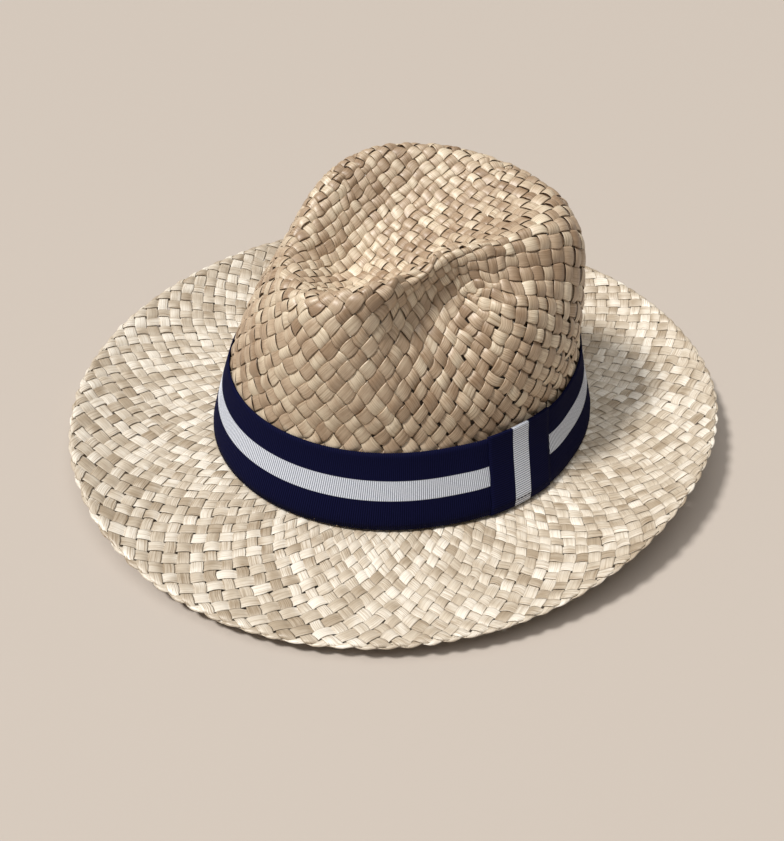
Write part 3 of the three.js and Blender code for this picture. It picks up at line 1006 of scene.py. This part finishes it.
# %% Ribbon band
RIB_PITCH = 1.05 * MM
RIB_HIGH = 0.08 * MM
EDGE_STEP = 0.16 * MM    # how far the edges step out and in from rib to rib
RIBBON_THICK = 0.6 * MM
MERGE_NEAR = 0.02 * MM
EDGE_ACROSS = 0.499      # points farther from the middle of a sheet, 1 wide, are on its edges


def ribbon_sheet(ribs, rows):
    """A flat sheet with a UV map and two columns for each rib, and its points' places along and across."""
    cloth = bmesh.new()
    cloth.loops.layers.uv.new("UVMap")
    bmesh.ops.create_grid(cloth, x_segments=2 * ribs, y_segments=rows, size=0.5, calc_uvs=True)
    flat = np.array([vert.co for vert in cloth.verts])
    return cloth, flat[:, 0] + 0.5, flat[:, 1]


def lay_ribbon(cloth, points, thick):
    """Lays a flat sheet on its points, merges its two ends and gives it a thickness."""
    for vert, point in zip(cloth.verts, points):
        vert.co = point
    bmesh.ops.remove_doubles(cloth, verts=cloth.verts, dist=MERGE_NEAR)
    bmesh.ops.recalc_face_normals(cloth, faces=cloth.faces)
    bmesh.ops.solidify(cloth, geom=cloth.faces[:], thickness=thick)
    bmesh.ops.recalc_face_normals(cloth, faces=cloth.faces)


def cloth_piece(name, cloth, material):
    """A piece of cloth or thread from a finished bmesh, on the hat."""
    mesh = bpy.data.meshes.new(name)
    cloth.to_mesh(mesh)
    cloth.free()
    mesh.shade_smooth()
    mesh.materials.append(material)
    piece = bpy.data.objects.new(name, mesh)
    bpy.context.scene.collection.objects.link(piece)
    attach(piece, BODY)
    return piece


BAND_RIBS = round(band_round / RIB_PITCH)
band_cloth, along, across = ribbon_sheet(BAND_RIBS, BAND_ROWS)
here, rise, outs = band_frame(along * 360, across + 0.5)
rib = np.cos(np.pi * np.round(along * 2 * BAND_RIBS))
edge = (np.abs(across) > EDGE_ACROSS) * np.sign(across)
here = here + outs * (RIB_HIGH * rib)[:, None] + rise * (EDGE_STEP * rib * edge)[:, None]
lay_ribbon(band_cloth, here, RIBBON_THICK)
band = cloth_piece("ribbon_band_cloth", band_cloth, ribbon_material("band_grosgrain", BAND_RIBS))
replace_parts(band, "ribbon_band")
print("band has", BAND_RIBS, "ribs")

# %% [markdown]
# ## The keeper tab
# A short length of the same ribbon is folded round the band, upright, so its stripe crosses the band's. It
# is a flat loop: up the front, over the top, down behind the band and under it. A grid gives the loop, with
# its ribs across, and its ends are merged behind the band, where nobody looks.

# %% Path of the tab
TAB_WIDE = 36.6 * MM
TAB_TURN_FOOT = 290.2    # the tab leans: its top is some degrees farther round than its foot
TAB_TURN_TOP = 295.2
TAB_FRONT = 0.6 * MM     # off the outside of the band
TAB_BACK = -1.15 * MM
TAB_OVER = 0.9 * MM      # how far the folds stand past the band's edges
TAB_SKEW = 1.6 * MM      # how far the back of the loop has slipped to one side
LOW_FOLD = 0.22          # where the folds start, as shares of the loop
HIGH_FOLD = 0.74
FOLD_LONG = 0.06
FOLD_PINCH = 0.008       # of the band's height, pressed out of each fold

tab_turn = round(TAB_TURN_FOOT / 360 * TABLE_TURNS)
band_tall = float(np.linalg.norm(np.diff(band_shape[tab_turn], axis=0), axis=1).sum())


def tab_path(step):
    """Height share and stand-off of the loop, from behind the band, under it, up the front and back."""
    corners = [0, LOW_FOLD, LOW_FOLD + FOLD_LONG, HIGH_FOLD, HIGH_FOLD + FOLD_LONG, 1]
    low = -TAB_OVER / band_tall + FOLD_PINCH
    high = 1 + TAB_OVER / band_tall - FOLD_PINCH
    share = np.interp(step, corners, [0.5, low, low, high, high, 0.5])
    out = np.interp(step, corners, [TAB_BACK, TAB_BACK, TAB_FRONT, TAB_FRONT, TAB_BACK, TAB_BACK])
    return share, out


def tab_points(step, across):
    """Points of the tab's loop, and the directions out of the band there."""
    share, out = tab_path(step)
    on_band = np.clip(share, 0, 1)
    turn = TAB_TURN_FOOT + (TAB_TURN_TOP - TAB_TURN_FOOT) * on_band
    middle = look_up(band_shape, turn, on_band)
    reach = np.linalg.norm(middle[:, :2] - np.array(MIDDLE)[:2], axis=1)
    slip = TAB_SKEW * (TAB_FRONT - out) / (TAB_FRONT - TAB_BACK) * (1 - share)
    arc = np.degrees((across * TAB_WIDE - slip) / reach)
    here, rise, outs = band_frame(turn + arc, on_band)
    beyond = (share - on_band) * band_tall
    return here + rise * beyond[:, None] + outs * out[:, None], outs


TAB_LONG = 2 * band_tall + 4 * TAB_OVER
print("tab loop is", round(TAB_LONG / MM), "mm long")

# %% Keeper tab
TAB_ROWS = 18
TAB_THICK = 0.8 * RIBBON_THICK  # pressed flat
TAB_RIBS = round(TAB_LONG / RIB_PITCH)

tab_cloth, along, across = ribbon_sheet(TAB_RIBS, TAB_ROWS)
lay_ribbon(tab_cloth, tab_points(along, across)[0], TAB_THICK)
tab = cloth_piece("ribbon_tab_cloth", tab_cloth, ribbon_material("tab_grosgrain", TAB_RIBS))
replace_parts(tab, "ribbon_tab")
print("tab has", TAB_RIBS, "ribs")

# %% [markdown]
# ## Stitches
# A row of dark stitches across the tab, close to its lower fold, holds the loop to the band. On the navy
# they hardly show, but they cross the white stripe as a broken line. Each stitch is one small bead of
# thread. A single bead is made with create_uvsphere, drawn out along the row, and repeated.

# %% Thread
THREAD_FINENESS = (2200, 2200)  # noise for each metre
THREAD_COLOURS = ((0.002, 0.002, 0.007, 1), (0.006, 0.006, 0.020, 1))
THREAD_DULL = 0.8

dark_thread = bpy.data.materials.new("dark_thread")
dark_thread.use_nodes = True
thread_tree = dark_thread.node_tree
thread_place = thread_tree.nodes.new("ShaderNodeTexCoord")
twist = stretched_noise(thread_tree, thread_place.outputs["Object"], THREAD_FINENESS, 2)
thread_surface = thread_tree.nodes["Principled BSDF"]
thread_tree.links.new(mix_colour(thread_tree, twist, *THREAD_COLOURS), thread_surface.inputs["Base Color"])
thread_surface.inputs["Roughness"].default_value = THREAD_DULL
thread_surface.inputs["Specular IOR Level"].default_value = CLOTH_SHINE
print(dark_thread.name, "has", len(thread_tree.nodes), "nodes")

# %% Stitches
STITCH_COUNT = 16
STITCH_HALF_LONG = 0.95 * MM
STITCH_HALF_WIDE = 0.28 * MM
STITCH_OFF = 0.2 * RIBBON_THICK  # from the tab's surface to a bead's middle
STITCH_SHARE = 0.075     # of the way up the front of the loop
STITCH_MARGIN = 0.06     # of the tab's width, kept free at either side
FRONT_START = LOW_FOLD + FOLD_LONG

stitch_step = FRONT_START + (HIGH_FOLD - FRONT_START) * STITCH_SHARE
row_across = np.linspace(-0.5 + STITCH_MARGIN, 0.5 - STITCH_MARGIN, STITCH_COUNT)
row_places, row_outs = tab_points(np.full(STITCH_COUNT, stitch_step), row_across)
row_runs = unit(np.gradient(row_places, axis=0))
bead_size = Matrix.Diagonal((STITCH_HALF_LONG, STITCH_HALF_WIDE, STITCH_HALF_WIDE, 1))
thread = bmesh.new()
for place, out, run in zip(row_places, row_outs, row_runs):
    out = Vector(out)
    run = Vector(run)
    up = out.cross(run).normalized()
    turned = Matrix((run, up, out)).transposed().to_4x4()
    bead_place = Matrix.Translation(Vector(place) + out * STITCH_OFF) @ turned @ bead_size
    bmesh.ops.create_uvsphere(thread, u_segments=8, v_segments=5, radius=1, matrix=bead_place)
bmesh.ops.recalc_face_normals(thread, faces=thread.faces)
cloth_piece("tab_stitches", thread, dark_thread)
print(STITCH_COUNT, "stitches across the tab")
